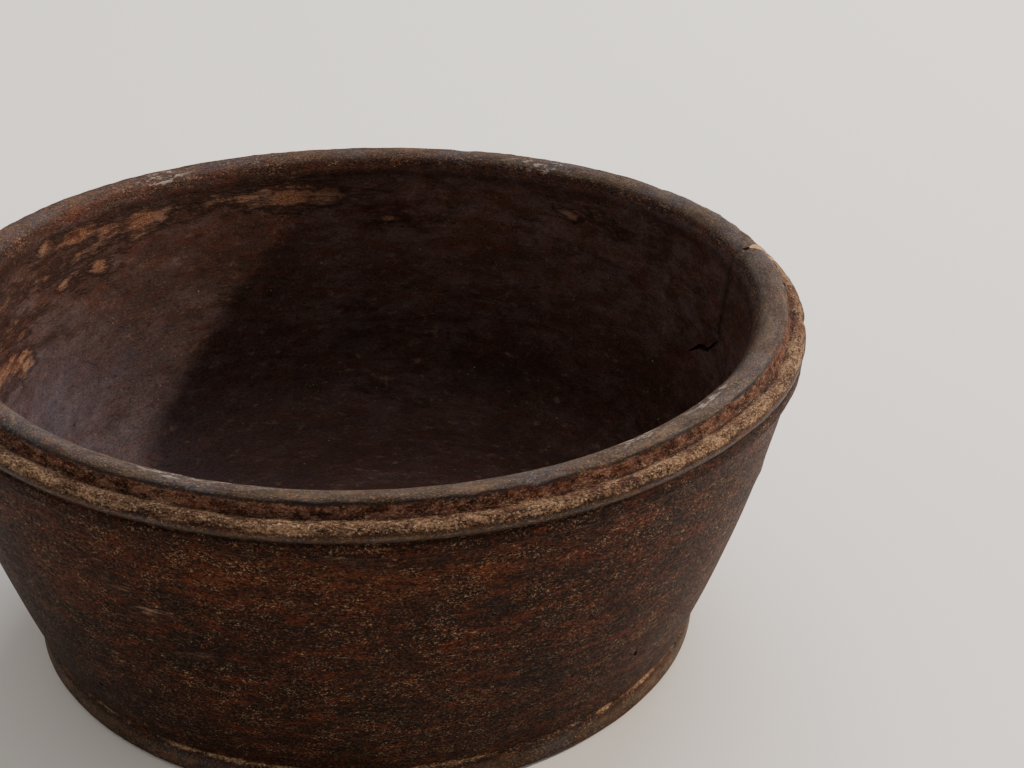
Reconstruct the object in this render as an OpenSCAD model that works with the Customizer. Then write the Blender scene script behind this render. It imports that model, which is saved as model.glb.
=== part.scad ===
// Turned wooden bowl: one piece of wood with a heavy moulded rim, a tapering wall and a foot ring.
// A drying split runs through the rim; dark pitch and a pale wood sliver fill parts of it.
// The bowl stands on Z = 0, and its axis is the Z axis.

/* [Bowl] */
// Diameter over the bead of the rim, the widest place
rim_d = 300; // [250:2:360]
// Height from the surface it stands on to the crown of the rim
bowl_h = 122; // [100:1:150]
// Radius of the outside of the wall where it meets the foot ring
wall_low_r = 117.9; // [100:1:122]
// How far the outside of the wall swells past a straight taper
wall_bulge = 2.8; // [0.5:0.1:5]
// Radius that the inside of the wall would reach at floor level
hollow_low_r = 110; // [92:1:113]
// How far the inside of the wall swells past a straight taper
hollow_bulge = 2.6; // [0.5:0.1:5]
// Radius of the curve from the inside of the wall into the floor
floor_round = 36; // [15:1:50]
// Thickness of the wood between the floor and the recess under the base
floor_t = 13; // [8:0.5:20]

/* [Rim] */
// Width of the whole moulded rim, from the hollow to the bead
rim_w = 18; // [17:0.5:24]
// Width of the crowned band on top of the rim
land_w = 11.5; // [10:0.5:13]
// Height of the band's crown over its outer edge
land_crown = 0.9; // [0.4:0.1:2]
// Radius that rolls the band's inner edge into the hollow
land_roll = 8.5; // [3:0.5:8.5]
// Drop of the small step at the band's outer edge, before the cove
step_drop = 3.4; // [1.5:0.1:4]
// Depth of the hollowed cove between the step and the bead
cove_depth = 0.7; // [0.2:0.1:1]
// Radius of the rounded bead
bead_r = 3; // [2:0.1:4.2]
// Depth of the bead's centre below the crown of the rim
bead_drop = 8.1; // [7:0.1:10]
// How far the plain band under the bead lies in from the bead's edge
band_in = 1; // [0.5:0.1:1.6]
// Depth of the plain band's lower edge below the crown of the rim
band_drop = 16; // [15:0.5:22]
// Radius of the plain band's lower edge
band_round = 1.2; // [0.5:0.1:1.5]
// How far the wall lies in from the plain band
wall_in = 1.3; // [0.5:0.1:3]

/* [Foot] */
// Diameter over the foot ring
foot_d = 237; // [204:1:248]
// Height of the foot ring
foot_h = 10.5; // [8:0.5:14]
// Radius of the foot ring's upper edge
foot_top_round = 2.4; // [1:0.1:4]
// Radius of the foot ring's lower edge
foot_low_round = 3.6; // [1:0.1:4]
// Width of the foot ring's flat bearing face
bearing_w = 9; // [6:0.5:14]
// Depth of the recess under the base
recess_h = 3; // [1:0.25:3.75]

/* [Drying split] */
// Direction of the split, turned about the bowl's axis from +X
split_angle = 10; // [0:0.5:90]
// Width of the split at the crown of the rim
split_w = 2.4; // [1.5:0.1:4]
// Depth at which the split closes
split_depth = 44; // [25:1:60]
// Radial length of the pitch at the split's inner end
pitch_len = 7; // [4:0.5:9]
// Depth that the pitch reaches below the crown
pitch_depth = 24; // [12:1:40]
// How far the pitch lies below the crown
pitch_sunk = 1.8; // [1.2:0.1:3]
// Radial length of the wood sliver at the split's outer end
sliver_len = 8; // [5:0.5:9]
// Depth that the sliver reaches below the crown
sliver_depth = 15; // [10:1:22]

/* [Hidden] */
$fn = 360;
long_arc_fn = 3600;                         // the walls are short stretches of very large circles
spare = 5;                                  // how far a cutting shape runs past what it cuts
rim_r = rim_d / 2;
foot_r = foot_d / 2;
mouth_r = rim_r - rim_w;                    // the hollow's radius under the rolled edge
land_out_r = mouth_r + land_w;
land_edge_z = bowl_h - land_crown;
step_z = land_edge_z - step_drop;
step_lean = 0.6;                            // how far the step leans out over its drop
bead_z = bowl_h - bead_drop;
band_r = rim_r - band_in;
band_z = bowl_h - band_drop;
quirk_in = 1.2;                             // depth of the fine groove between bead and band
quirk_h = 0.4;                              // height of that groove at its bottom
wall_top_r = band_r - wall_in;
wall_start_z = foot_h / 2;                  // the wall's outline starts inside the foot ring
floor_z = recess_h + floor_t;
roll_z = bowl_h - land_roll;
recess_r = foot_r - foot_low_round - bearing_w;
wall_lean = 20;                             // the wall leans in by less than this over the split

// Radius of the arc through two points with a given bulge, and the arc's centre.
function arc_r(a, b, bulge) = (pow(norm(b - a), 2) / 4 + bulge * bulge) / (2 * bulge);
function arc_side(a, b) = [-(b - a).y, (b - a).x] / norm(b - a);
function arc_centre(a, b, bulge) = (a + b) / 2 + arc_side(a, b) * (arc_r(a, b, bulge) - bulge);

wall_a = [wall_low_r, foot_h];
wall_b = [wall_top_r, band_z];
wall_arc = arc_r(wall_a, wall_b, wall_bulge);
wall_mid = arc_centre(wall_a, wall_b, wall_bulge);

hollow_a = [hollow_low_r, floor_z];
hollow_b = [mouth_r, roll_z];
hollow_arc = arc_r(hollow_a, hollow_b, hollow_bulge);
hollow_mid = arc_centre(hollow_a, hollow_b, hollow_bulge);

// The curve into the floor touches the floor and the wall's arc from inside.
round_z = floor_z + floor_round;
round_x = hollow_mid.x + sqrt(pow(hollow_arc - floor_round, 2) - pow(round_z - hollow_mid.y, 2));
round_mid = [round_x, round_z];
round_dir = (round_mid - hollow_mid) / norm(round_mid - hollow_mid);
round_touch = round_mid + round_dir * floor_round;

// The land's crown starts level at the top of the rolled edge and falls to the step.
crown_r = mouth_r + land_roll;
fall_w = land_out_r - crown_r;
land_arc = (fall_w * fall_w + land_crown * land_crown) / (2 * land_crown);

// The cove hollows the ledge between the foot of the step and the crest of the bead.
cove_a = [land_out_r + step_lean, step_z];
cove_b = [rim_r - bead_r, bead_z + bead_r];
cove_bite = [0.3, 0];                       // the cove's arc runs on this far at each end
cove_arc = arc_r(cove_a - cove_bite, cove_b + cove_bite, cove_depth);
cove_mid = arc_centre(cove_a - cove_bite, cove_b + cove_bite, cove_depth);

// Outside of the wall, from inside the foot ring up into the moulded rim.
module wall_outline() {
    intersection() {
        translate([0, wall_start_z])
            square([rim_r, band_z + band_round - wall_start_z]);
        translate(wall_mid)
            circle(r = wall_arc, $fn = long_arc_fn);
    }
}

// The moulded rim: crowned land, step, cove, bead, fine groove and plain band.
module rim_outline() {
    quirk_r = band_r - quirk_in;
    band_top_z = bead_z - bead_r - quirk_h;
    difference() {
        polygon([
            [0, band_z], [band_r - band_round, band_z], [band_r, band_z + band_round],
            [band_r, band_top_z], [quirk_r, band_top_z], [quirk_r, bead_z],
            cove_b, cove_a, [land_out_r, land_edge_z], [0, land_edge_z]
        ]);
        intersection() {
            translate(cove_mid)
                circle(r = cove_arc);
            polygon([
                cove_a + [0, bead_r], cove_b + [0, bead_r], cove_b - [0, bead_r], cove_a - [0, bead_r]
            ]);
        }
    }
    translate([rim_r - bead_r, bead_z])
        circle(r = bead_r);
    translate([band_r - band_round, band_z + band_round])
        circle(r = band_round);
    translate([mouth_r, roll_z])
        square([land_roll, land_roll]);
    intersection() {
        translate([crown_r, bowl_h - land_arc])
            circle(r = land_arc);
        translate([crown_r, land_edge_z])
            square([fall_w, land_crown + spare]);
    }
}

// The foot ring, with a rounded upper and lower edge.
module foot_outline() {
    polygon([
        [0, 0], [foot_r - foot_low_round, 0], [foot_r, foot_low_round],
        [foot_r, foot_h - foot_top_round], [foot_r - foot_top_round, foot_h], [0, foot_h]
    ]);
    translate([foot_r - foot_low_round, foot_low_round])
        circle(r = foot_low_round);
    translate([foot_r - foot_top_round, foot_h - foot_top_round])
        circle(r = foot_top_round);
}

// Everything that the turner cut away inside, up to the rolled edge of the land.
module hollow_outline() {
    difference() {
        intersection() {
            translate([-spare, floor_z])
                square([rim_r, bowl_h]);
            translate(hollow_mid)
                circle(r = hollow_arc, $fn = long_arc_fn);
        }
        difference() {
            polygon([
                [round_mid.x, floor_z - spare], [rim_r, floor_z - spare],
                [rim_r, round_touch.y], round_touch, round_mid
            ]);
            translate(round_mid)
                circle(r = floor_round);
        }
        translate([-spare, roll_z])
            square([rim_r + spare, bowl_h]);
    }
    difference() {
        translate([-spare, roll_z])
            square([crown_r + spare, land_roll + spare]);
        translate([crown_r, roll_z])
            circle(r = land_roll);
    }
}

// Half of the bowl's cross-section, turned about the axis to make the bowl.
module bowl_outline() {
    difference() {
        union() {
            wall_outline();
            rim_outline();
            foot_outline();
        }
        hollow_outline();
        translate([-spare, -spare])
            square([spare + recess_r, spare + recess_h]);
        translate([-rim_r, -spare])
            square([rim_r, bowl_h + 2 * spare]);
    }
}

module turned_bowl() {
    rotate_extrude()
        bowl_outline();
}

// The split is a wedge-shaped slot across the rim, wide at the crown and closed at its foot.
// This is its stretch between two radii and between two depths below the crown.
module split_slot(from_r, to_r, top_gap, depth) {
    slope = split_w / 2 / split_depth;
    top_half = slope * (split_depth - top_gap);
    low_half = slope * (split_depth - depth);
    rotate([90, 0, 90 + split_angle])
        translate([0, 0, from_r])
            linear_extrude(height = to_r - from_r)
                polygon([
                    [-low_half, bowl_h - depth], [low_half, bowl_h - depth],
                    [top_half, bowl_h - top_gap], [-top_half, bowl_h - top_gap]
                ]);
}

// The bowl itself, with the open split cut through the rim.
module bowl_body() {
    color("#3a2a20")
        difference() {
            turned_bowl();
            split_slot(mouth_r - wall_lean, rim_r + spare, -spare, split_depth);
        }
}

// Dark pitch in the inner end of the split, a little below the crown.
module split_pitch() {
    color("#2a1c0a")
        intersection() {
            turned_bowl();
            split_slot(mouth_r - wall_lean, mouth_r + pitch_len, pitch_sunk, pitch_depth);
        }
}

// Pale sliver of bare wood in the outer end of the split.
module split_sliver() {
    color("#a07a55")
        intersection() {
            turned_bowl();
            split_slot(rim_r - sliver_len, rim_r + spare, 0, sliver_depth);
        }
}

bowl_body();
split_pitch();
split_sliver();
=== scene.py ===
# An old turned wooden bowl: one piece of dark timber with a heavy moulded rim and a low foot ring.
# A drying split crosses the rim at one side, with dark pitch in one end and bare wood in the other.
import math
import bpy
import bmesh
from mathutils import Matrix, Vector, noise


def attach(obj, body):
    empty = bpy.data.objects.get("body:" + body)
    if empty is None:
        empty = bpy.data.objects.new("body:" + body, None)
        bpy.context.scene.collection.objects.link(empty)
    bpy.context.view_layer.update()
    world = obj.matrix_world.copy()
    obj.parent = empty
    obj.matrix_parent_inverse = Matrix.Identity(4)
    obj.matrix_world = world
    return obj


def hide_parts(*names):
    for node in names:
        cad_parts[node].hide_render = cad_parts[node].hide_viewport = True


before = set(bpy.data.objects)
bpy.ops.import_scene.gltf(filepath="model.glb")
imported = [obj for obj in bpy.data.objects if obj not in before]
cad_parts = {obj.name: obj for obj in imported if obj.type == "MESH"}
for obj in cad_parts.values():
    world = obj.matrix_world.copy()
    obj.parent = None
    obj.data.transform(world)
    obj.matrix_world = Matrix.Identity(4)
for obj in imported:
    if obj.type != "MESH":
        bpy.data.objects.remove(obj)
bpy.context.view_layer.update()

# ---------------------------------------------------------------------------------------------
# The bowl: one blank of timber turned on a lathe, inside and out, with a rim of mouldings (land,
# step, cove, bead, fine groove, plain band) and a foot ring. Its dark skin is old oil, soot and
# handling, with painted shade in its recesses and low in the hollow; dust sits in the hollows, hands
# have rubbed the edges, and a dull grey sheen is painted on them.
# ---------------------------------------------------------------------------------------------
MM = 0.001
LATHE_STEPS = 360
SPLIT_AT = math.radians(10)
WORN_SHARP = 0.7  # mm round a sharp edge over which use has rounded it
PEG_R = 0.9  # mm, radius of an insect hole


def turn_line(bm, last, to, pieces):
    """Draws a straight stretch of the turner's outline, from the last point to (radius, height) in mm."""
    start = last.co.copy()
    end = Vector((to[0] * MM, 0, to[1] * MM))
    for i in range(1, pieces + 1):
        nxt = bm.verts.new(start.lerp(end, i / pieces))
        bm.edges.new((last, nxt))
        last = nxt
    return last


def turn_arc(bm, last, centre, degrees, pieces):
    """Draws an arc of the outline by swinging the last point about a centre, given in mm."""
    swung = bmesh.ops.spin(
        bm, geom=[last], cent=(centre[0] * MM, 0, centre[1] * MM), axis=(0, -1, 0),
        angle=math.radians(degrees), steps=pieces, use_merge=False, use_duplicate=False)
    return [part for part in swung["geom_last"] if isinstance(part, bmesh.types.BMVert)][0]


def turn_bulge(bm, last, to, bulge, pieces):
    """Draws a stretch that swells by bulge mm to the right of its direction of travel."""
    a = Vector((last.co.x, last.co.z)) / MM
    b = Vector(to)
    run = b - a
    half = run.length / 2
    radius = (half * half + bulge * bulge) / (2 * abs(bulge))
    right = Vector((run.y, -run.x)).normalized() * (1 if bulge > 0 else -1)
    centre = (a + b) / 2 - right * (radius - abs(bulge))
    sweep = math.degrees(2 * math.asin(half / radius)) * (1 if bulge > 0 else -1)
    return turn_arc(bm, last, centre, sweep, pieces)


# The outline, from the middle of the base: recess, bearing face, foot ring, wall, then the rim's plain
# band, groove, bead, cove, step and land, and down the hollow to the middle of the floor.
bm = bmesh.new()
tip = bm.verts.new((0, 0, 3 * MM))
tip = turn_line(bm, tip, (100, 3), 12)
tip = turn_line(bm, tip, (105.9, 3), 2)
tip = turn_line(bm, tip, (105.9, 0), 2)
tip = turn_line(bm, tip, (114.9, 0), 3)
tip = turn_arc(bm, tip, (114.9, 3.6), 90, 5)
tip = turn_line(bm, tip, (118.5, 8.1), 3)
tip = turn_arc(bm, tip, (116.1, 8.1), 50, 4)
tip = turn_bulge(bm, tip, (147.7, 106), 2.8, 52)
tip = turn_arc(bm, tip, (147.8, 107.2), 90, 4)
tip = turn_line(bm, tip, (149, 110.5), 4)
tip = turn_line(bm, tip, (148.35, 110.8), 2)
tip = turn_line(bm, tip, (148.4, 111.25), 1)
tip = turn_arc(bm, tip, (147, 113.9), 183.5, 18)
tip = turn_line(bm, tip, (144.9, 116.6), 2)
tip = turn_line(bm, tip, (144.2, 117.6), 2)
tip = turn_line(bm, tip, (143.5, 121.1), 8)
tip = turn_bulge(bm, tip, (140.5, 122), 0.25, 8)
tip = turn_arc(bm, tip, (140.5, 113.5), 86, 16)
tip = turn_bulge(bm, tip, (118.06, 42.3), -2.1, 42)
tip = turn_arc(bm, tip, (83.5, 52), -74, 22)
tip = turn_line(bm, tip, (0, 16), 20)

# The sharp edges of the mouldings have been worn round in use.
corners = [(105.9, 0), (117.65, 9.9), (149, 110.5), (148.35, 110.8), (148.4, 111.25), (144.2, 117.6)]
for radius, height in corners:
    spot = Vector((radius * MM, 0, height * MM))
    near = [v for v in bm.verts if (v.co - spot).length < WORN_SHARP * MM]
    bmesh.ops.smooth_vert(bm, verts=near, factor=0.5, use_axis_x=True, use_axis_z=True)

bmesh.ops.spin(bm, geom=bm.verts[:] + bm.edges[:], cent=(0, 0, 0), axis=(0, 0, 1),
               angle=math.tau, steps=LATHE_STEPS, use_merge=True, use_duplicate=False)
bmesh.ops.remove_doubles(bm, verts=bm.verts[:], dist=0.001 * MM)
bmesh.ops.recalc_face_normals(bm, faces=bm.faces[:])
mesh = bpy.data.meshes.new("bowl")
bm.to_mesh(mesh)
bm.free()
bowl = bpy.data.objects.new("turned_bowl", mesh)
bpy.context.scene.collection.objects.link(bowl)


def split_wedge(name, from_r, to_r, top, bottom, spare):
    """A stretch of the drying split: a thin wedge that wanders with the grain. All sizes are in mm."""
    wedge = bmesh.new()
    bmesh.ops.create_cube(wedge, size=1)
    bmesh.ops.scale(wedge, vec=(to_r - from_r, 2, top - bottom), verts=wedge.verts[:])
    bmesh.ops.translate(wedge, vec=((from_r + to_r) / 2, 0, (top + bottom) / 2), verts=wedge.verts[:])
    along = [e for e in wedge.edges if abs(e.verts[0].co.x - e.verts[1].co.x) > 1]
    bmesh.ops.subdivide_edges(wedge, edges=along, cuts=max(3, int(to_r - from_r)), use_grid_fill=True)
    upright = [e for e in wedge.edges if abs(e.verts[0].co.z - e.verts[1].co.z) > 1]
    bmesh.ops.subdivide_edges(wedge, edges=upright, cuts=max(3, int((top - bottom) / 2)), use_grid_fill=True)
    for v in wedge.verts:
        r, z = v.co.x, v.co.z
        # The pitch's pocket is widest 136 mm out; from there the crack gapes towards the rim's edge.
        pocket = 1.3 * math.exp(-((r - 136.2) / 2.0) ** 2) * max(0.0, min(1.0, (z - 108) / 8))
        mouth = 2.4 * max(0.0, min(1.0, (r - 138.8) / 2.5)) * max(0.0, min(1.0, (z - 111) / 9))
        half = (0.24 + pocket + mouth) * max(0.05, min(1.0, (z - 78) / 40)) + spare
        sway = 0.55 * noise.noise(Vector((r / 6, z / 9, 3.7))) + 0.5 * math.sin(z / 11)
        v.co.y = math.copysign(half, v.co.y) + sway
    bmesh.ops.scale(wedge, vec=(MM, MM, MM), verts=wedge.verts[:])
    bmesh.ops.rotate(wedge, matrix=Matrix.Rotation(SPLIT_AT, 3, "Z"), cent=(0, 0, 0), verts=wedge.verts[:])
    bmesh.ops.recalc_face_normals(wedge, faces=wedge.faces[:])
    shape = bpy.data.meshes.new(name)
    wedge.to_mesh(shape)
    wedge.free()
    piece = bpy.data.objects.new(name, shape)
    bpy.context.scene.collection.objects.link(piece)
    return piece


def take(piece, tool, operation):
    """Cuts a tool's shape out of a piece, or keeps what both share, and keeps the finished mesh."""
    cut = piece.modifiers.new("cut", "BOOLEAN")
    cut.operation = operation
    cut.solver = "EXACT"
    cut.object = tool
    bpy.context.view_layer.update()
    shape = bpy.data.meshes.new_from_object(piece.evaluated_get(bpy.context.evaluated_depsgraph_get()))
    piece.modifiers.clear()
    piece.data = shape


def old_gouge():
    """A short wavy crack in the inside of the wall, as a thin blade that cuts it. All sizes are in mm."""
    blade = bmesh.new()
    bmesh.ops.create_cube(blade, size=1)
    bmesh.ops.scale(blade, vec=(6, 22, 1), verts=blade.verts[:])
    along = [e for e in blade.edges if abs(e.verts[0].co.y - e.verts[1].co.y) > 5]
    bmesh.ops.subdivide_edges(blade, edges=along, cuts=20, use_grid_fill=True)
    for v in blade.verts:
        t = v.co.y / 11
        thickness = 2.2 * max(0.1, 1 - t * t)
        v.co.z = v.co.z * thickness - 0.5 * v.co.y + 0.9 * math.sin(v.co.y * 0.45) + 1.2 * t * t
        v.co.x += 0.18 * v.co.z
    bmesh.ops.translate(blade, vec=(126.8, 0, 79.5), verts=blade.verts[:])
    turn = Matrix.Rotation(math.radians(14.3), 3, "Z")
    bmesh.ops.rotate(blade, matrix=turn, cent=(0, 0, 0), verts=blade.verts[:])
    bmesh.ops.scale(blade, vec=(MM, MM, MM), verts=blade.verts[:])
    bmesh.ops.recalc_face_normals(blade, faces=blade.faces[:])
    shape = bpy.data.meshes.new("gouge")
    blade.to_mesh(shape)
    blade.free()
    piece = bpy.data.objects.new("gouge", shape)
    bpy.context.scene.collection.objects.link(piece)
    return piece


def insect_holes():
    """The exit holes of two wood-boring beetles low on the wall, as short pegs that cut them."""
    pegs = bmesh.new()
    for at, height, wall_r in ((-132.5, 26.8, 124.9), (-49.8, 35.3, 127.9)):
        made = bmesh.ops.create_cone(
            pegs, segments=16, radius1=PEG_R, radius2=PEG_R, depth=9, cap_ends=True)["verts"]
        bmesh.ops.rotate(pegs, matrix=Matrix.Rotation(math.radians(90), 3, "Y"), cent=(0, 0, 0), verts=made)
        bmesh.ops.translate(pegs, vec=(wall_r, 0, height), verts=made)
        bmesh.ops.rotate(pegs, matrix=Matrix.Rotation(math.radians(at), 3, "Z"), cent=(0, 0, 0), verts=made)
    bmesh.ops.scale(pegs, vec=(MM, MM, MM), verts=pegs.verts[:])
    shape = bpy.data.meshes.new("insect_holes")
    pegs.to_mesh(shape)
    pegs.free()
    piece = bpy.data.objects.new("insect_holes", shape)
    bpy.context.scene.collection.objects.link(piece)
    return piece


uncut_bowl = bowl.copy()
bpy.context.scene.collection.objects.link(uncut_bowl)
open_split = split_wedge("open_split", 112, 158, 130, 79, 0)
take(bowl, open_split, "DIFFERENCE")
gouge = old_gouge()
take(bowl, gouge, "DIFFERENCE")
beetle_holes = insect_holes()
take(bowl, beetle_holes, "DIFFERENCE")


def near_angle(angle, at, width):
    """How close a direction is to another, from 1 at it to 0 well past width degrees."""
    off = (math.degrees(angle) - at + 180) % 360 - 180
    return math.exp(-(off / width) ** 2)


def ramp(value, low, high):
    """0 below low, 1 above high, and a smooth rise between them."""
    t = max(0.0, min(1.0, (value - low) / (high - low)))
    return t * t * (3 - 2 * t)


def lumps(x, y, z, size, seed):
    """Soft lumps of that size in mm, from -1 to 1."""
    return noise.noise(Vector((x / size + seed, y / size - seed, z / size + 2 * seed)))


# Dents, chips and rubs of the rim: direction in degrees, radius, height, size and depth in mm.
DENTS = [(-13.1, 137.2, 121.3, 3.0, 0.55), (-16.3, 140.5, 122, 3.2, 0.5), (-14.6, 139, 122, 1.6, 0.5),
         (-30, 138.5, 121.8, 2.5, 0.3), (-44, 137.6, 121.5, 4.0, 0.35), (-56, 138, 121.6, 5, 0.35),
         (-9.5, 150, 114, 4.5, 0.9), (-34, 150, 113, 4.0, 0.5), (-62, 143.6, 120.8, 4.5, 0.8),
         (-71, 143.8, 120.5, 5.0, 0.9), (-79, 143.8, 120.8, 3.5, 0.7), (-96, 143.6, 121, 5, 0.5),
         (-110, 138, 121.5, 6, 0.4), (38, 142, 121.9, 4, 0.5), (74, 143.5, 121.3, 6, 0.5),
         (121, 138, 121.5, 5, 0.5), (150, 149.5, 115, 6, 0.8), (178, 143, 121.5, 5, 0.6),
         (-150, 149.8, 113, 5, 0.7), (9.8, 126.9, 87.8, 5, 0.9), (14, 125, 79, 4.5, 1.0),
         (19.2, 123.7, 71.5, 4.5, 0.9), (-58, 118.4, 6, 4, 0.6), (-97, 118.5, 5, 5, 0.5),
         (25, 118.5, 7, 6, 0.7), (95, 118.5, 6, 6, 0.6), (160, 118.5, 7, 5, 0.6), (-22, 141, 74, 5, -0.5),
         (14, 127.5, 92, 6, -0.7), (22, 126, 84, 6, -0.5)]


def in_hollow(r, z):
    """Whether a point of the fresh bowl lies on the hollow's side of the wood."""
    return z > 10 and r < min(133, 112 + 0.3 * (z - 16))


def wear(r, z, angle, x, y):
    """How far a point of the fresh bowl has moved, outwards and up, in mm, through wear and use."""
    out, up = 0.0, 0.0
    inside = in_hollow(r, z)
    out += 0.3 * lumps(x, y, z, 38, 1.3) + 0.14 * lumps(x, y, z, 13, 4.1)
    if not inside and z > 100:
        crust = 0.16 * lumps(x, y, z * 1.5, 4.5, 7.7) + 0.1 * lumps(x, y, z, 2.7, 9.2)
        out += crust
        up += crust
        hollow = math.exp(-((r - 145.5) / 2.2) ** 2) * ramp(z, 114, 116)
        up += hollow * (0.4 * lumps(x, y, z, 9, 5.5) + 0.24 * lumps(x, y, z, 3.4, 6.5) + 0.1)
        edge = math.exp(-((r - 143.6) / 0.9) ** 2 - ((z - 120.9) / 1.3) ** 2)
        nibble = max(0.0, lumps(x, y, z, 7, 2.2) + 0.15) + 0.6 * max(0.0, lumps(x, y, z, 3, 3.2))
        out -= edge * nibble * 0.5
        up -= edge * nibble * 0.35
    if inside:
        out += 0.22 * lumps(x, y, z * 1.3, 7, 3.9) * ramp(z, 30, 50)
    if inside and z < 20:
        up += 0.5 * lumps(x, y, 0, 40, 8.1) + 0.25 * lumps(x, y, 0, 14, 2.8)
    out += 1.3 * near_angle(angle, -27, 17) * math.exp(-((z - 109) / 6) ** 2) * ramp(r, 143, 147)
    place = Vector((x, y, z))
    for at, dent_r, dent_z, size, depth in DENTS:
        spot = Vector((dent_r * math.cos(math.radians(at)), dent_r * math.sin(math.radians(at)), dent_z))
        gap = (place - spot).length
        if gap < size * 2:
            press = depth * math.exp(-(gap / size * 1.6) ** 2)
            if dent_z > 120:
                up -= press
            else:
                out += press if inside else -press
    return out, up


def warped(r, z, angle):
    """The bowl has dried a little oval, and its rim is not quite level."""
    return (r * (1 + 0.0174 * math.cos(2 * (angle - 1.2596))),
            z * (1 + 0.0122 * math.cos(2 * (angle - 0.0978))))


MASKS = ("dusty", "rubbed_and_sheen", "flaked", "inside", "grime_and_shade", "lit_side_sheen", "arris", "chafed", "warm", "scuffed")
# Patches where the dark skin has flaked to orange or red wood: direction, height, size, strength.
FLAKES = [(144.7, 111, 12, 1.0), (152, 112, 10, 0.8), (131, 107, 13, 1.1), (138, 109, 10, 0.9),
          (142.2, 96, 7, 0.9), (151.2, 96, 7, 0.9), (166.7, 80, 12, 1.0), (175, 84, 16, 0.9),
          (148, 104, 36, 0.6), (172, 98, 36, 0.66), (128, 108, 18, 0.5), (-168, 100, 30, 0.55),
          (118, 109, 12, 0.6), (103.3, 107, 14, 1.1), (98, 106, 12, 0.9), (110, 108, 12, 0.8),
          (90, 104, 12, 0.5), (46.4, 107, 8, 0.8), (52, 106, 9, 0.8), (41, 103, 7, 0.7),
          (83.9, 95, 14, 0.6), (60, 101, 8, 0.5), (-120, 84, 12, 0.62), (-116, 75, 12, 0.58),
          (-122, 92, 8, 0.5), (-112, 64, 14, 0.5), (-107, 56, 12, 0.45), (-139, 70, 14, 0.5),
          (-93, 105, 12, 0.55), (-85, 104, 10, 0.5), (-103, 104, 9, 0.5), (-60, 101, 8, 0.4),
          (-160, 95, 12, 0.7), (170, 90, 12, 0.6), (60, 100, 9, 0.5), (20, 98, 8, 0.5),
          (115, 70, 12, 0.5)]


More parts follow.
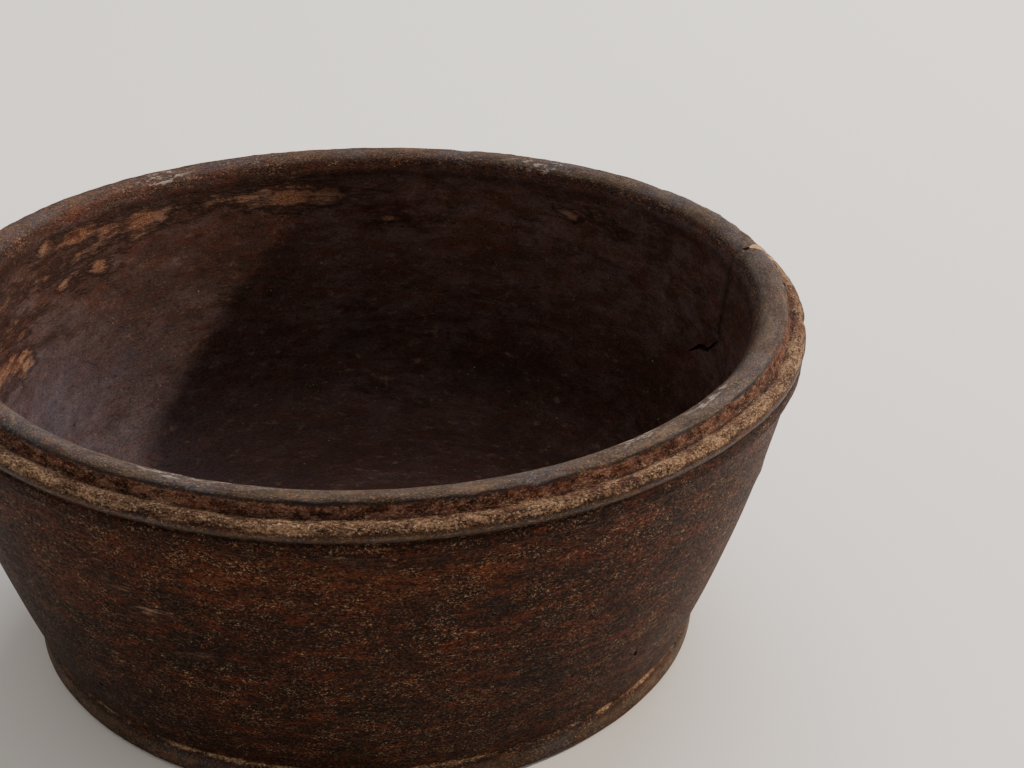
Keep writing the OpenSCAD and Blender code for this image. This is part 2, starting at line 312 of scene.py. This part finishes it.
def masks(r, z, angle, x, y):
    """What has happened to the skin at a point (dust, rubbing, flaking and grime) and where light and shade
    are painted on it, each from 0 to 1.
    """
    inside = in_hollow(r, z)
    patchy = 0.5 + 0.5 * lumps(x, y, z * 2, 17, 6.1)
    dusty = rubbed_and_sheen = flaked = lit_side_sheen = arris = chafed = warm = scuffed = 0.0
    split_line = near_angle(angle, 10, 0.9) * ramp(z, 80, 95)
    if inside:
        # Painted light: the left of the hollow, where the key light falls, takes a paler grey sheen and less
        # of the painted shade.
        lit_side_sheen = near_angle(angle, 171, 34) * ramp(98 - z, 0, 45) * (0.6 + 0.4 * patchy)
        # Painted shade: darker towards the floor of the hollow and weaker on its lit side, and a dark band
        # just under the land's inner edge.
        grime_and_shade = 0.62 * ramp(100 - z, 0, 60) * (1 - 0.75 * lit_side_sheen)
        grime_and_shade += 0.95 * math.exp(-((z - 114) / 2.0) ** 2) * (0.3 + 0.7 * patchy)
        # Painted shade inside the gouge and the split, and on the floor of the hollow.
        behind = ramp(r - 127.7 - 0.18 * (z - 79.5), 0, 0.8) * near_angle(angle, 14.3, 6) * ramp(95 - z, 0, 5)
        grime_and_shade = max(grime_and_shade, split_line, behind * ramp(z, 62, 66), 0.8 * ramp(26 - z, 0, 8))
        warm = 0.3 * ramp(30 - z, 0, 12) + 0.5 * near_angle(angle, 75, 25) * ramp(z, 70, 100) * patchy
        dusty = 0.3 * ramp(22 - z, 0, 6) * patchy
        for at, height, size, strength in FLAKES:
            if abs(z - height) < size:
                flaked = max(flaked, strength * near_angle(angle, at, size * 0.55) *
                             math.exp(-((z - height) / size * 1.9) ** 2))
    else:
        stray = 0.9 * lumps(x, y, 0, 8, 3.3) + 0.6 * lumps(x, y, 0, 2.6, 5.9)
        cove = ramp(r + stray, 142.8, 146.4) * ramp(z + 0.5 * stray, 113.2, 115.4)
        quirk = math.exp(-((z - 110.7) / 0.5) ** 2) * ramp(r, 145, 147)
        foot = math.exp(-((z - 10.2) / 1.6) ** 2)
        dusty = max(cove * (0.54 + 0.55 * patchy), 0.2 * quirk, foot * (0.3 + 0.8 * patchy))
        for at, width in ((-114.5, 3), (-110.5, 2), (-51, 2.5), (-84, 3), (35, 5), (140, 5)):
            dusty = max(dusty, 1.15 * foot * near_angle(angle, at, width))
        # The rubbed land, bead and foot ring, which also carry a painted sheen of reflected light.
        land = ramp(z, 118.5, 121) * ramp(144 - r, 0, 1)
        bead = math.exp(-((z - 112.9) / 1.3) ** 2) * ramp(r, 148.6, 149.6)
        ring = math.exp(-((z - 5.5) / 3.2) ** 2) * ramp(r, 117.3, 118)
        brown_side = near_angle(angle, 128, 45)
        land *= (1 - split_line * ramp(137 - r, 0, 2)) * (1 - 0.5 * brown_side)
        rubbed_and_sheen = max(land, bead, 0.9 * ring)
        # Painted shade in the fine groove under the bead.
        shade = math.exp(-((z - 110.7) / 0.7) ** 2) * ramp(r, 145, 147)
        step = ramp(z, 116, 117.5) * ramp(120.9 - z, 0, 1) * ramp(r, 142.5, 143.4)
        scuffed = step * (0.4 + 0.6 * patchy)
        warm = max(0.4 * step, 0.7 * brown_side * ramp(z, 117, 120),
                   0.9 * near_angle(angle, -127, 7) * math.exp(-((z - 80) / 12) ** 2),
                   0.8 * near_angle(angle, -100, 34) * math.exp(-((z - 98) / 9) ** 2))
        # Painted shade: a thin dark line along the land's outer edge and along the bead's lower edge.
        step_edge = math.exp(-((r - 143.5 + 0.5 * stray) / 0.6) ** 2 - ((z - 120.9) / 0.7) ** 2)
        arris = max(step_edge * (0.5 + 0.7 * patchy),
                    0.6 * math.exp(-((z - 112.2) / 0.8) ** 2) * ramp(r, 148.2, 149.3))
        for at, width in ((-112, 5), (-105, 3), (-43, 4), (-37, 1.5), (-56, 4), (60, 5), (125, 4)):
            chafed = max(chafed, near_angle(angle, at, width) * ramp(141.5 - r, 0, 3) * ramp(z, 118, 120.5))
        flaked = 1.3 * near_angle(angle, 9.7, 1.6) * ramp(r, 139, 142) * ramp(z, 112, 118)
        # Painted shade on the plain band below the bead, which faces down. The skin is also darker towards
        # the lower wall, and has a real dark-red patch at the left front.
        band = math.exp(-((z - 107.5) / 2.5) ** 2) * ramp(r, 145, 147)
        grime_and_shade = max(0.15, 0.7 * shade, 0.5 * band, 0.12 + 0.25 * ramp(60 - z, 0, 50) * ramp(z, 8, 14),
                    0.4 * near_angle(angle, -127, 6) * math.exp(-((z - 80) / 11) ** 2))
        for at, height, size, strength in FLAKES:
            if (at < 0 or at > 165) and size < 20 and z < 108:
                flaked = max(flaked, strength * near_angle(angle, at, size * 0.5) *
                             math.exp(-((z - height) / size * 1.7) ** 2))
    within = ramp(134.5 - r, 0, 3) if z > 110 else float(inside)
    return dusty, rubbed_and_sheen, flaked, within, grime_and_shade, lit_side_sheen, arris, chafed, warm, scuffed


def age(piece):
    """Wears and warps a piece of the fresh bowl, and notes on each point what its skin has been through and
    where light and shade are painted on it.
    """
    old = bmesh.new()
    old.from_mesh(piece.data)
    layers = [old.verts.layers.float.new(name) for name in MASKS]
    for v in old.verts:
        x, y, z = v.co.x / MM, v.co.y / MM, v.co.z / MM
        r, angle = math.hypot(x, y), math.atan2(y, x)
        for layer, value in zip(layers, masks(r, z, angle, x, y)):
            v[layer] = value
        out, up = wear(r, z, angle, x, y)
        if z < 0.2:
            out, up = 0.0, 0.0
        keep = min(1.0, r / 30)
        new_r, new_z = warped(r + out * keep, z + up, angle)
        v.co = (new_r * math.cos(angle) * MM, new_r * math.sin(angle) * MM, new_z * MM)
    # Where the cuts left many-sided faces, splitting them can lay two slivers back to back: both go.
    bmesh.ops.triangulate(old, faces=[face for face in old.faces if len(face.verts) > 4])
    same_corners = {}
    for face in old.faces:
        same_corners.setdefault(frozenset(face.verts), []).append(face)
    doubled = [face for faces in same_corners.values() if len(faces) > 1 for face in faces]
    bmesh.ops.delete(old, geom=doubled, context="FACES")
    old.to_mesh(piece.data)
    old.free()
    for face in piece.data.polygons:
        face.use_smooth = True
    piece.data.set_sharp_from_angle(angle=math.radians(45))


age(bowl)


def paint(code):
    """A colour from its sRGB hex code, turned to linear."""
    parts = [int(code[i:i + 2], 16) / 255 for i in (0, 2, 4)]
    return tuple(c / 12.92 if c <= 0.04045 else ((c + 0.055) / 1.055) ** 2.4 for c in parts) + (1,)


def put(tree, kind, inputs=None, **settings):
    """Adds one node with its settings, and joins or sets its inputs."""
    node = tree.nodes.new(kind)
    for name, value in settings.items():
        setattr(node, name, value)
    for key, value in (inputs or {}).items():
        if isinstance(value, bpy.types.NodeSocket):
            tree.links.new(value, node.inputs[key])
        else:
            node.inputs[key].default_value = value
    return node


def new_material(name):
    """An empty material with its shader, and the node tree that they stand in."""
    material = bpy.data.materials.new(name)
    material.use_nodes = True
    tree = material.node_tree
    return material, tree, tree.nodes["Principled BSDF"]


# Oiled, smoked turned timber: a near-black brown skin over red-brown wood. Fine crust gives it a
# speckle drawn out along the turning lines, dust gives dull tan, and the rubbed edges carry a painted
# grey-brown sheen.
old_wood, tree, skin = new_material("old_oiled_turned_wood")
coords = put(tree, "ShaderNodeTexCoord").outputs["Object"]
xyz = put(tree, "ShaderNodeSeparateXYZ", {0: coords})
flat = put(tree, "ShaderNodeCombineXYZ", {0: xyz.outputs[0], 1: xyz.outputs[1]}).outputs[0]
radius = put(tree, "ShaderNodeVectorMath", {0: flat}, operation="LENGTH").outputs["Value"]


def turned_noise(stretch, size_mm, detail, roughness, seed):
    """Noise drawn out along the turning lines: size_mm is its height across them."""
    around = put(tree, "ShaderNodeMapping", {
        0: coords, 1: (seed, seed * 0.7, seed * 0.3), 3: (1, 1, stretch)})
    depth = put(tree, "ShaderNodeMath", {0: radius, 1: stretch}, operation="MULTIPLY")
    cloud = put(tree, "ShaderNodeTexNoise", {
        "Vector": around.outputs[0], "W": depth.outputs[0], "Scale": 1000 / size_mm / stretch / 2,
        "Detail": detail, "Roughness": roughness}, noise_dimensions="4D")
    return cloud.outputs["Fac"]


# Settings that recur. A map range spreads inputs 1..2 to 3..4 with soft ends. A math node gives a
# product kept from 0 to 1, or a product plus a third value. A mix lays colour 7 over colour 6.
SOFT = {"interpolation_type": "SMOOTHSTEP"}
TIMES = {"operation": "MULTIPLY", "use_clamp": True}
TIMES_PLUS = {"operation": "MULTIPLY_ADD"}
LAY = {"data_type": "RGBA"}

dusty, rubbed_and_sheen, flaked, inside, grime_and_shade, lit_side_sheen, arris, chafed, warm, scuffed = [
    put(tree, "ShaderNodeAttribute", attribute_name=name).outputs["Fac"] for name in MASKS]

# Skin colour: broad blotches, near black outside, and greyer with dark streaks in the hollow.
blotch = turned_noise(2.2, 12, 4.0, 0.62, 0.0)
streak = turned_noise(3.0, 2.4, 5.0, 0.72, 31.7)
blotchy = put(tree, "ShaderNodeMapRange", {0: blotch, 1: 0.36, 2: 0.64}, **SOFT).outputs[0]
streaky = put(tree, "ShaderNodeMapRange", {0: streak, 1: 0.4, 2: 0.62}, **SOFT).outputs[0]
skin_out = put(tree, "ShaderNodeMix", {0: blotchy, 6: paint("180a04"), 7: paint("281108")}, **LAY).outputs[2]
skin_in = put(tree, "ShaderNodeMix", {0: blotchy, 6: paint("37251f"), 7: paint("5a4642")}, **LAY).outputs[2]
skin_in = put(tree, "ShaderNodeMix", {0: streaky, 6: skin_in, 7: paint("412b23")}, **LAY).outputs[2]
colour = put(tree, "ShaderNodeMix", {0: inside, 6: skin_out, 7: skin_in}, **LAY).outputs[2]

# The red wood glows through the skin, least in the hollow.
through = turned_noise(3.5, 2.0, 4.0, 0.75, 2.1)
glow = put(tree, "ShaderNodeMapRange", {0: through, 1: 0.48, 2: 0.64}, **SOFT).outputs[0]
glow_share = put(tree, "ShaderNodeMath", {0: inside, 1: -0.25, 2: 0.55}, **TIMES_PLUS).outputs[0]
glow = put(tree, "ShaderNodeMath", {0: glow, 1: glow_share}, **TIMES).outputs[0]
colour = put(tree, "ShaderNodeMix", {0: glow, 6: colour, 7: paint("5c2611")}, **LAY).outputs[2]

# Painted light: a grey sheen lies on the left of the hollow, where the key light falls, and some patches have
# worn warmer.
lit_sheen_amount = put(tree, "ShaderNodeMapRange", {0: streak, 1: 0.35, 2: 0.6, 3: 0.85, 4: 0.6}, **SOFT).outputs[0]
lit_sheen_amount = put(tree, "ShaderNodeMath", {0: lit_side_sheen, 1: lit_sheen_amount}, **TIMES).outputs[0]
colour = put(tree, "ShaderNodeMix", {0: lit_sheen_amount, 6: colour, 7: paint("55535d")}, **LAY).outputs[2]
warmth = put(tree, "ShaderNodeMapRange", {
    0: turned_noise(3.0, 1.8, 4.0, 0.7, 52.6), 1: 0.42, 2: 0.6, 3: 0.2, 4: 0.8}, **SOFT).outputs[0]
warmth = put(tree, "ShaderNodeMath", {0: warm, 1: warmth}, **TIMES).outputs[0]
colour = put(tree, "ShaderNodeMix", {0: warmth, 6: colour, 7: paint("5e2f16")}, **LAY).outputs[2]

# The crust's fine speckle: clusters of red-brown and tan flecks, a quarter of a millimetre across.
fleck = turned_noise(1.5, 0.25, 3.0, 0.8, 5.3)
cluster = turned_noise(1.6, 4, 4.0, 0.7, 8.8)
fleck_kind = put(tree, "ShaderNodeMapRange", {
    0: turned_noise(2.0, 1.2, 2.0, 0.6, 9.9), 1: 0.44, 2: 0.56}, **SOFT).outputs[0]
fleck_colour = put(tree, "ShaderNodeMix", {
    0: fleck_kind, 6: paint("7c4426"), 7: paint("9c7c5c")}, **LAY).outputs[2]
flecks = put(tree, "ShaderNodeMapRange", {0: fleck, 1: 0.52, 2: 0.62}, **SOFT).outputs[0]
clusters = put(tree, "ShaderNodeMapRange", {0: cluster, 1: 0.36, 2: 0.64, 3: 0.25, 4: 1.0}, **SOFT).outputs[0]
flecks = put(tree, "ShaderNodeMath", {0: flecks, 1: clusters}, **TIMES).outputs[0]
fleck_share = put(tree, "ShaderNodeMath", {0: inside, 1: -0.72, 2: 1.0}, **TIMES_PLUS).outputs[0]
flecks = put(tree, "ShaderNodeMath", {0: flecks, 1: fleck_share}, **TIMES).outputs[0]
colour = put(tree, "ShaderNodeMix", {0: flecks, 6: colour, 7: fleck_colour}, **LAY).outputs[2]

# Black pits between the flecks, then grime with painted shade (in the groove and on the band under the bead,
# in the split and gouge, low in the hollow), and the darkest of the broad blotches.
pit = turned_noise(1.8, 0.36, 3.0, 0.78, 11.2)
pits = put(tree, "ShaderNodeMapRange", {0: pit, 1: 0.49, 2: 0.58}, **SOFT).outputs[0]
pit_share = put(tree, "ShaderNodeMath", {0: inside, 1: -0.5, 2: 0.85}, **TIMES_PLUS).outputs[0]
pits = put(tree, "ShaderNodeMath", {0: pits, 1: pit_share}, **TIMES).outputs[0]
colour = put(tree, "ShaderNodeMix", {0: pits, 6: colour, 7: paint("0c0603")}, **LAY).outputs[2]
grime_and_shade_amount = put(tree, "ShaderNodeMath", {0: grime_and_shade, 1: 0.65}, **TIMES).outputs[0]
colour = put(tree, "ShaderNodeMix", {0: grime_and_shade_amount, 6: colour, 7: paint("120703")}, **LAY).outputs[2]
darkest = put(tree, "ShaderNodeMapRange", {0: blotch, 1: 0.52, 2: 0.72, 3: 0.0, 4: 0.45}, **SOFT).outputs[0]
colour = put(tree, "ShaderNodeMix", {0: darkest, 6: colour, 7: paint("120804")}, **LAY).outputs[2]

# The hollow is mottled with crumbs of dried food and dust, tan, and with old grease, dark.
mottle = turned_noise(1.6, 1.5, 5.0, 0.74, 91.3)
for low, high, tint in ((0.56, 0.68, "6a5344"), (0.46, 0.34, "170d0b")):
    mottled = put(tree, "ShaderNodeMapRange", {0: mottle, 1: low, 2: high, 3: 0.0, 4: 0.5}, **SOFT).outputs[0]
    mottled = put(tree, "ShaderNodeMath", {0: inside, 1: mottled}, **TIMES).outputs[0]
    colour = put(tree, "ShaderNodeMix", {0: mottled, 6: colour, 7: paint(tint)}, **LAY).outputs[2]

# Odd pale specks of lime and crumbs, up to a millimetre across.
specks = put(tree, "ShaderNodeMapRange", {
    0: turned_noise(1.2, 0.8, 2.0, 0.7, 61.4), 1: 0.69, 2: 0.73}, **SOFT).outputs[0]
speck_places = put(tree, "ShaderNodeMapRange", {
    0: turned_noise(1.2, 7, 1.0, 0.5, 65.8), 1: 0.5, 2: 0.6}, **SOFT).outputs[0]
specks = put(tree, "ShaderNodeMath", {0: specks, 1: speck_places}, **TIMES).outputs[0]
specks = put(tree, "ShaderNodeMath", {0: specks, 1: 0.75}, **TIMES).outputs[0]
colour = put(tree, "ShaderNodeMix", {0: specks, 6: colour, 7: paint("9a8672")}, **LAY).outputs[2]

# Flaked patches: ragged islands of orange and pink-brown wood, with dark skin standing round them.
ragged = turned_noise(3.6, 1.9, 5.0, 0.66, 14.1)
flake_edge = put(tree, "ShaderNodeMath", {0: flaked, 1: 0.42, 2: ragged}, **TIMES_PLUS).outputs[0]
islands = put(tree, "ShaderNodeMapRange", {0: flake_edge, 1: 0.74, 2: 0.93}, **SOFT).outputs[0]
island_places = put(tree, "ShaderNodeMapRange", {0: flaked, 1: 0.05, 2: 0.4}, **SOFT).outputs[0]
flakes = put(tree, "ShaderNodeMath", {0: islands, 1: island_places}, **TIMES).outputs[0]
shores = put(tree, "ShaderNodeMapRange", {0: flake_edge, 1: 0.64, 2: 0.74}, **SOFT).outputs[0]
shore_places = put(tree, "ShaderNodeMapRange", {0: flaked, 1: 0.1, 2: 0.4}, **SOFT).outputs[0]
flake_rim = put(tree, "ShaderNodeMath", {0: shores, 1: shore_places}, **TIMES).outputs[0]
dark_rim = put(tree, "ShaderNodeMath", {0: flake_rim, 1: 0.55}, **TIMES).outputs[0]
colour = put(tree, "ShaderNodeMix", {0: dark_rim, 6: colour, 7: paint("1c100c")}, **LAY).outputs[2]
flake_kind = put(tree, "ShaderNodeMapRange", {
    0: turned_noise(1.6, 5, 2.0, 0.6, 40.2), 1: 0.42, 2: 0.58}, **SOFT).outputs[0]
flake_colour = put(tree, "ShaderNodeMix", {
    0: flake_kind, 6: paint("6a4130"), 7: paint("7a5a4c")}, **LAY).outputs[2]
for pattern, low, high, tint in ((fleck, 0.46, 0.62, "957154"), (streak, 0.5, 0.6, "46291f")):
    grained = put(tree, "ShaderNodeMapRange", {0: pattern, 1: low, 2: high}, **SOFT).outputs[0]
    flake_colour = put(tree, "ShaderNodeMix", {0: grained, 6: flake_colour, 7: paint(tint)}, **LAY).outputs[2]
bared = put(tree, "ShaderNodeMath", {0: flakes, 1: 0.8}, **TIMES).outputs[0]
colour = put(tree, "ShaderNodeMix", {0: bared, 6: colour, 7: flake_colour}, **LAY).outputs[2]

# The step's face has worn to red-brown and pinkish scuffs.
scuffs = put(tree, "ShaderNodeMapRange", {
    0: turned_noise(2.2, 1.0, 5.0, 0.74, 81.9), 1: 0.43, 2: 0.58, 3: 0.0, 4: 0.9}, **SOFT).outputs[0]
scuffs = put(tree, "ShaderNodeMath", {0: scuffed, 1: scuffs}, **TIMES).outputs[0]
scuff_kind = put(tree, "ShaderNodeMapRange", {0: fleck, 1: 0.48, 2: 0.6}, **SOFT).outputs[0]
scuff_colour = put(tree, "ShaderNodeMix", {
    0: scuff_kind, 6: paint("6b4437"), 7: paint("917159")}, **LAY).outputs[2]
colour = put(tree, "ShaderNodeMix", {0: scuffs, 6: colour, 7: scuff_colour}, **LAY).outputs[2]

# Hands have rubbed the land, the bead and the foot, patchily, and a painted grey-brown and blue-grey sheen of
# reflected light lies over them.
rub_noise = turned_noise(3.0, 1.6, 4.0, 0.65, 17.9)
tan_patch = turned_noise(2.4, 2.0, 4.0, 0.7, 37.4)
blue_patch = turned_noise(2.0, 7, 3.0, 0.6, 71.2)
rub_and_sheen = put(tree, "ShaderNodeMapRange", {0: rub_noise, 1: 0.34, 2: 0.62, 3: 0.5, 4: 1.0}, **SOFT).outputs[0]
rub_and_sheen = put(tree, "ShaderNodeMath", {0: rubbed_and_sheen, 1: rub_and_sheen}, **TIMES).outputs[0]
blue_sheen_share = put(tree, "ShaderNodeMapRange", {0: blue_patch, 1: 0.44, 2: 0.62}, **SOFT).outputs[0]
rub_and_sheen_colour = put(tree, "ShaderNodeMix", {
    0: blue_sheen_share, 6: paint("463a30"), 7: paint("3f3e42")}, **LAY).outputs[2]
for pattern, low, high, share, tint in (
        (fleck, 0.49, 0.59, 0.7, "7d6349"), (tan_patch, 0.5, 0.66, 0.55, "755b3d")):
    patches = put(tree, "ShaderNodeMapRange", {0: pattern, 1: low, 2: high}, **SOFT).outputs[0]
    patches = put(tree, "ShaderNodeMath", {0: patches, 1: share}, **TIMES).outputs[0]
    rub_and_sheen_colour = put(tree, "ShaderNodeMix", {0: patches, 6: rub_and_sheen_colour, 7: paint(tint)}, **LAY).outputs[2]
sheen = put(tree, "ShaderNodeMath", {0: rub_and_sheen, 1: 0.8}, **TIMES).outputs[0]
colour = put(tree, "ShaderNodeMix", {0: sheen, 6: colour, 7: rub_and_sheen_colour}, **LAY).outputs[2]

# The land's outer edge and the bead's lower edge carry a thin painted blue-black line of shade, and knocks
# have chafed the land white in places.
edge_shade_line = put(tree, "ShaderNodeMapRange", {0: rub_noise, 1: 0.42, 2: 0.56, 3: 0.1, 4: 1.0}, **SOFT).outputs[0]
edge_shade_line = put(tree, "ShaderNodeMath", {0: arris, 1: edge_shade_line}, **TIMES).outputs[0]
colour = put(tree, "ShaderNodeMix", {0: edge_shade_line, 6: colour, 7: paint("16171b")}, **LAY).outputs[2]
chafe = put(tree, "ShaderNodeMapRange", {
    0: turned_noise(2.6, 0.7, 3.0, 0.7, 43.3), 1: 0.52, 2: 0.62}, **SOFT).outputs[0]
chafe = put(tree, "ShaderNodeMath", {0: chafed, 1: chafe}, **TIMES).outputs[0]
chafe = put(tree, "ShaderNodeMath", {0: chafe, 1: 0.85}, **TIMES).outputs[0]
colour = put(tree, "ShaderNodeMix", {0: chafe, 6: colour, 7: paint("9c9084")}, **LAY).outputs[2]

# Dust lodged in the cove, over the bead's shoulder and on the foot, in crumbs and drifts.
crumb = turned_noise(1.4, 0.36, 3.0, 0.78, 20.3)
drift = turned_noise(2.4, 1.8, 5.0, 0.72, 23.7)
grit = turned_noise(1.3, 0.32, 3.0, 0.8, 26.5)
depth = put(tree, "ShaderNodeMath", {0: dusty, 1: 0.5, 2: -0.3}, **TIMES_PLUS).outputs[0]
depth = put(tree, "ShaderNodeMath", {0: crumb, 1: 0.5, 2: depth}, **TIMES_PLUS).outputs[0]
depth = put(tree, "ShaderNodeMath", {0: drift, 1: 0.75, 2: depth}, **TIMES_PLUS).outputs[0]
dust = put(tree, "ShaderNodeMapRange", {0: depth, 1: 0.57, 2: 0.84}, **SOFT).outputs[0]
dust_places = put(tree, "ShaderNodeMapRange", {0: dusty, 1: 0.04, 2: 0.45}, **SOFT).outputs[0]
dust = put(tree, "ShaderNodeMath", {0: dust, 1: dust_places}, **TIMES).outputs[0]
drifts = put(tree, "ShaderNodeMapRange", {0: drift, 1: 0.4, 2: 0.6}, **SOFT).outputs[0]
dust_colour = put(tree, "ShaderNodeMix", {
    0: drifts, 6: paint("392519"), 7: paint("694d3a")}, **LAY).outputs[2]
for pattern, low, high, tint in ((grit, 0.44, 0.58, "9a7d60"), (crumb, 0.56, 0.66, "b2977a")):
    grains = put(tree, "ShaderNodeMapRange", {0: pattern, 1: low, 2: high}, **SOFT).outputs[0]
    dust_colour = put(tree, "ShaderNodeMix", {0: grains, 6: dust_colour, 7: paint(tint)}, **LAY).outputs[2]
cover = put(tree, "ShaderNodeMath", {0: dust, 1: 0.88}, **TIMES).outputs[0]
colour = put(tree, "ShaderNodeMix", {0: cover, 6: colour, 7: dust_colour}, **LAY).outputs[2]
tree.links.new(colour, skin.inputs["Base Color"])

# The crust is rough, the rubbed wood is smooth, the inside keeps a dull grease, the dust is dead flat.
rough = put(tree, "ShaderNodeMapRange", {0: pit, 1: 0.35, 2: 0.65, 3: 0.52, 4: 0.74}, **SOFT).outputs[0]
for finish, change in ((rub_and_sheen, -0.14), (lit_side_sheen, -0.08), (arris, -0.12)):
    rough = put(tree, "ShaderNodeMath", {0: finish, 1: change, 2: rough}, **TIMES_PLUS).outputs[0]
rough = put(tree, "ShaderNodeMath", {0: dust, 1: 0.35, 2: rough}, use_clamp=True, **TIMES_PLUS).outputs[0]
tree.links.new(rough, skin.inputs["Roughness"])
skin.inputs["IOR"].default_value = 1.5
skin.inputs["Specular IOR Level"].default_value = 0.09

# Relief: the turning tool's fine ridges, the crumbs of crust and dust, and broader unevenness.
tool_marks = turned_noise(14, 1.3, 1.0, 0.4, 30.1)
height = put(tree, "ShaderNodeMath", {0: tool_marks, 1: 0.25}, operation="MULTIPLY").outputs[0]
for layer, share in ((fleck, 0.3), (pit, -0.35), (through, 0.7), (ragged, 0.5), (streak, 0.4), (grit, 0.3),
                     (dust, 0.5), (flake_rim, 0.5), (flakes, -0.9)):
    height = put(tree, "ShaderNodeMath", {0: layer, 1: share, 2: height}, **TIMES_PLUS).outputs[0]
relief = put(tree, "ShaderNodeBump", {"Height": height, "Strength": 0.9, "Distance": 0.45 * MM})
tree.links.new(relief.outputs[0], skin.inputs["Normal"])

bowl.data.materials.clear()
bowl.data.materials.append(old_wood)
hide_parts("bowl_body")
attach(bowl, "root")

# ---------------------------------------------------------------------------------------------
# The pitch: dark brown resin that has run into the inner end of the split and set hard, a little
# below the land, with a dull gloss.
# ---------------------------------------------------------------------------------------------
SNUG = 0.02  # mm that a filling presses into each cheek of the split, so that no gap shows
pitch = split_wedge("split_pitch_fill", 120, 138.6, 120.7, 98, SNUG)
take(pitch, uncut_bowl, "INTERSECT")
age(pitch)

# Hardened pitch: nearly black where it is thick, brown where it is thin, with a slightly lumpy skin.
resin, tree, skin = new_material("hardened_pitch")
coords = put(tree, "ShaderNodeTexCoord").outputs["Object"]
cloud = put(tree, "ShaderNodeTexNoise", {"Vector": coords, "Scale": 700, "Detail": 3}).outputs["Fac"]
thin = put(tree, "ShaderNodeMapRange", {0: cloud, 1: 0.35, 2: 0.65}, **SOFT).outputs[0]
colour = put(tree, "ShaderNodeMix", {0: thin, 6: paint("1a1004"), 7: paint("3a280d")}, **LAY).outputs[2]
relief = put(tree, "ShaderNodeBump", {"Height": cloud, "Strength": 0.6, "Distance": 0.3 * MM})
tree.links.new(colour, skin.inputs["Base Color"])
tree.links.new(relief.outputs[0], skin.inputs["Normal"])
skin.inputs["Roughness"].default_value = 0.45
skin.inputs["Specular IOR Level"].default_value = 0.25
pitch.data.materials.clear()
pitch.data.materials.append(resin)
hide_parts("split_pitch")
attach(pitch, "root")

# ---------------------------------------------------------------------------------------------
# The sliver: bare pale wood standing in the outer end of the split, where the dark skin has gone.
# It is the bowl's own timber or a filler of the same kind, level with the land and the mouldings.
# ---------------------------------------------------------------------------------------------
sliver = split_wedge("split_sliver_fill", 138.9, 158, 130, 107, SNUG)
take(sliver, uncut_bowl, "INTERSECT")
age(sliver)

# Bare, dry wood: matt, with its grain lying across the rim.
bare_wood, tree, skin = new_material("bare_split_wood")
coords = put(tree, "ShaderNodeTexCoord").outputs["Object"]
grain = put(tree, "ShaderNodeMapping", {0: coords, 2: (0, 0, SPLIT_AT), 3: (1, 6, 1)}).outputs[0]
cloud = put(tree, "ShaderNodeTexNoise", {"Vector": grain, "Scale": 400, "Detail": 4}).outputs["Fac"]
pale = put(tree, "ShaderNodeMapRange", {0: cloud, 1: 0.35, 2: 0.65}, **SOFT).outputs[0]
colour = put(tree, "ShaderNodeMix", {0: pale, 6: paint("80592f"), 7: paint("b98f5c")}, **LAY).outputs[2]
relief = put(tree, "ShaderNodeBump", {"Height": cloud, "Strength": 0.7, "Distance": 0.3 * MM})
tree.links.new(colour, skin.inputs["Base Color"])
tree.links.new(relief.outputs[0], skin.inputs["Normal"])
skin.inputs["Roughness"].default_value = 0.8
sliver.data.materials.clear()
sliver.data.materials.append(bare_wood)
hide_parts("split_sliver")
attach(sliver, "root")
for helper in (open_split, gouge, beetle_holes, uncut_bowl):
    bpy.data.objects.remove(helper)

# ---------------------------------------------------------------------------------------------
# The stand: a plain pale floor with a matt painted surface, lit by a low window-like key light
# from the right, a soft fill from behind and an even pale room.
# ---------------------------------------------------------------------------------------------
FLOOR_HALF = 6  # m
bm = bmesh.new()
bmesh.ops.create_grid(bm, x_segments=1, y_segments=1, size=FLOOR_HALF)
mesh = bpy.data.meshes.new("floor")
bm.to_mesh(mesh)
bm.free()
floor = bpy.data.objects.new("floor", mesh)
bpy.context.scene.collection.objects.link(floor)
matt_paint, tree, skin = new_material("matt_pale_floor")
skin.inputs["Base Color"].default_value = paint("eee8df")
skin.inputs["Roughness"].default_value = 0.85
floor.data.materials.append(matt_paint)

LIT_HEIGHT = 0.1  # m, where the lights point on the bowl's axis


def add_light(name, azimuth, elevation, distance, size, power, tint):
    """A square soft light that faces the middle of the bowl: degrees, metres and watts."""
    data = bpy.data.lights.new(name, "AREA")
    data.size = size
    data.energy = power
    data.color = paint(tint)[:3]
    lamp = bpy.data.objects.new(name, data)
    a, e = math.radians(azimuth), math.radians(elevation)
    lamp.location = Vector((math.cos(a) * math.cos(e), math.sin(a) * math.cos(e), math.sin(e))) * distance
    lamp.location.z += LIT_HEIGHT
    lamp.rotation_euler = (Vector((0, 0, LIT_HEIGHT)) - lamp.location).to_track_quat("-Z", "Y").to_euler()
    bpy.context.scene.collection.objects.link(lamp)


add_light("key", azimuth=12, elevation=26.5, distance=3.0, size=0.15, power=95, tint="fff1e2")
add_light("soft_sky", azimuth=70, elevation=55, distance=2.6, size=2.0, power=60, tint="f4f6ff")
world = bpy.data.worlds.new("room")
world.use_nodes = True
world.node_tree.nodes["Background"].inputs["Color"].default_value = paint("f0eeec")
world.node_tree.nodes["Background"].inputs["Strength"].default_value = 0.7
bpy.context.scene.world = world

# The camera stands a little above the rim, in front of the bowl. Its angles are in radians.
eye = (0, -0.5835, 0.36995)
pan, tilt_down, roll = -0.08506, 0.45594, 0.01857
lens = bpy.data.cameras.new("camera")
lens.sensor_width = 36
lens.lens = 65.7
lens.clip_start = 0.02
camera = bpy.data.objects.new("camera", lens)
camera.matrix_world = (Matrix.Translation(eye) @ Matrix.Rotation(pan, 4, "Z") @
                       Matrix.Rotation(math.pi / 2 - tilt_down, 4, "X") @ Matrix.Rotation(roll, 4, "Z"))
bpy.context.scene.collection.objects.link(camera)
bpy.context.scene.camera = camera
